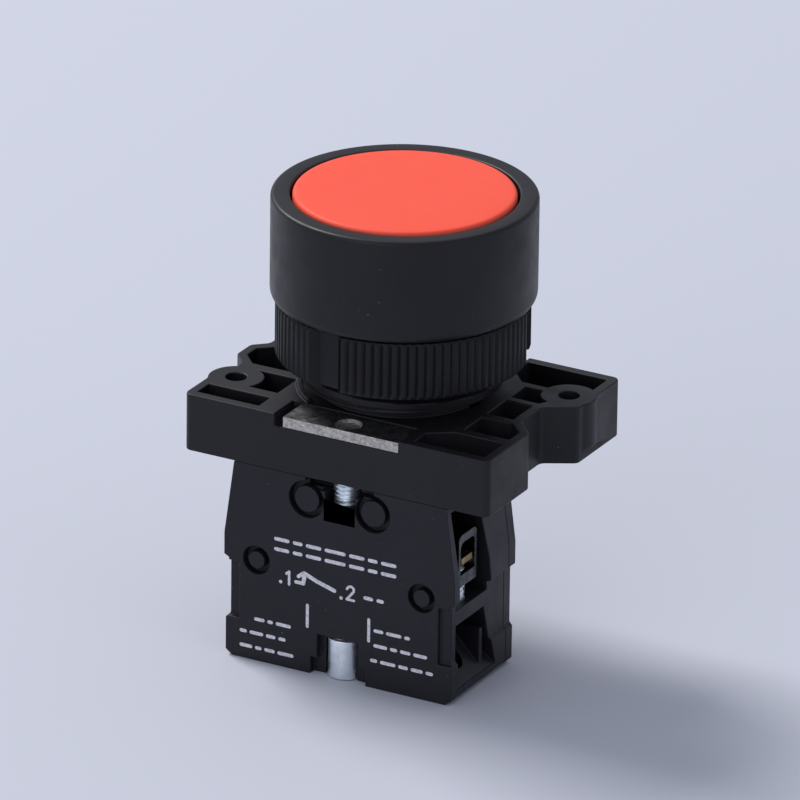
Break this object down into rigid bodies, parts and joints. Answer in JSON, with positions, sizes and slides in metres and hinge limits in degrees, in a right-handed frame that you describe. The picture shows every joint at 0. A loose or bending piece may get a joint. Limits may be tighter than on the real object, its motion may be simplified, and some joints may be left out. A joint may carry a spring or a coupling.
{
  "type": "panel push button",
  "caption": "Flush round push button for a control panel, with knurled fixing nut, mounting base and a screwed-on normally closed contact block.",
  "frame": {"origin": "on the button axis at the underside of the bezel, in the plane of the panel's front face", "axes": "+Z out of the panel towards the operator; +X along the long side of the mounting base; +Y from the fitted contact block towards the free block position"},
  "size_m": [0.0398, 0.029, 0.0524],
  "materials": {
    "head_black": "fine matte moulded nylon",
    "base_black": "fine matte moulded nylon",
    "block_black": "satin moulded nylon",
    "nut_black": "matte moulded nylon",
    "cap_red": "satin orange-red moulded plastic",
    "pusher_white": "natural moulded acetal",
    "plunger_red": "red moulded acetal",
    "rubber_black": "matte rubber",
    "strip_steel": "mottled cold-rolled steel",
    "zinc_steel": "bright zinc plate",
    "black_steel": "black oxide on steel",
    "spring_steel": "drawn wire",
    "terminal_brass": "stamped brass",
    "contact_silver": "silver contact face"
  },
  "bodies": {
    "frame": {"head_housing": "head_black", "panel_gasket": "rubber_black", "stem_seal": "rubber_black", "seat_ring": "nut_black", "mounting_base": "base_black", "nut_plate_front": "strip_steel", "nut_plate_rear": "strip_steel", "ear_screw_left": "black_steel", "ear_screw_right": "black_steel", "block_housing": "block_black", "block_cover": "block_black", "block_screw": "zinc_steel", "fixed_tip_left": "contact_silver", "fixed_tip_right": "contact_silver", "plunger_spring": "spring_steel", "terminal_left": "terminal_brass", "terminal_right": "terminal_brass"},
    "button": {"button_cap": "cap_red", "pusher": "pusher_white", "return_spring": "spring_steel"},
    "nut_thrust_washer": {"nut_washer": "zinc_steel"},
    "nut": {"fixing_nut": "nut_black"},
    "block_plunger": {"plunger": "plunger_red", "contact_spring": "spring_steel"},
    "moving_contact": {"contact_bridge": "terminal_brass", "moving_tip_left": "contact_silver", "moving_tip_right": "contact_silver"},
    "clamp_left": {"wire_clamp_left": "zinc_steel"},
    "clamp_right": {"wire_clamp_right": "zinc_steel"},
    "screw_left": {"clamp_screw_left": "zinc_steel"},
    "screw_right": {"clamp_screw_right": "zinc_steel"}
  },
  "joints": [
    {"name": "button_press", "type": "slide", "parent": "frame", "child": "button", "axis": [0, 0, -1], "range_m": [0, 0.0043], "stiffness_N_per_m": 600, "springref_m": -0.003, "deforming": ["return_spring"]},
    {"name": "plunger_travel", "type": "slide", "parent": "frame", "child": "block_plunger", "axis": [0, 0, -1], "range_m": [0, 0.0044], "deforming": ["plunger_spring"]},
    {"name": "contact_travel", "type": "slide", "parent": "frame", "child": "moving_contact", "axis": [0, 0, -1], "range_m": [0, 0.0029], "deforming": ["contact_spring"]},
    {"name": "nut_travel", "type": "slide", "parent": "frame", "child": "nut_thrust_washer", "axis": [0, 0, -1], "range_m": [0, 0.00241]},
    {"name": "nut_turn", "type": "hinge", "parent": "nut_thrust_washer", "child": "nut", "pos_m": [0, 0, -0.0034], "axis": [0, 0, -1], "range_deg": [0, 576]},
    {"name": "clamp_turn_left", "type": "hinge", "parent": "frame", "child": "screw_left", "pos_m": [-0.0113, -0.0092, -0.0297], "axis": [0, 0, 1], "range_deg": [0, 866]},
    {"name": "clamp_travel_left", "type": "slide", "parent": "frame", "child": "clamp_left", "axis": [0, 0, -1], "range_m": [0, 0.0012]},
    {"name": "clamp_turn_right", "type": "hinge", "parent": "frame", "child": "screw_right", "pos_m": [0.0113, -0.0092, -0.0297], "axis": [0, 0, 1], "range_deg": [0, 866]},
    {"name": "clamp_travel_right", "type": "slide", "parent": "frame", "child": "clamp_right", "axis": [0, 0, -1], "range_m": [0, 0.0012]}
  ],
  "couplings": [
    {"joint": "plunger_travel", "follows": "button_press", "ratio": 1},
    {"joint": "contact_travel", "follows": "button_press", "ratio": 0.651},
    {"joint": "nut_travel", "follows": "nut_turn", "m_per_rad": 0.00023873},
    {"joint": "clamp_turn_left", "follows": "clamp_travel_left", "rad_per_m": 12566},
    {"joint": "clamp_turn_right", "follows": "clamp_travel_right", "rad_per_m": 12566}
  ]
}
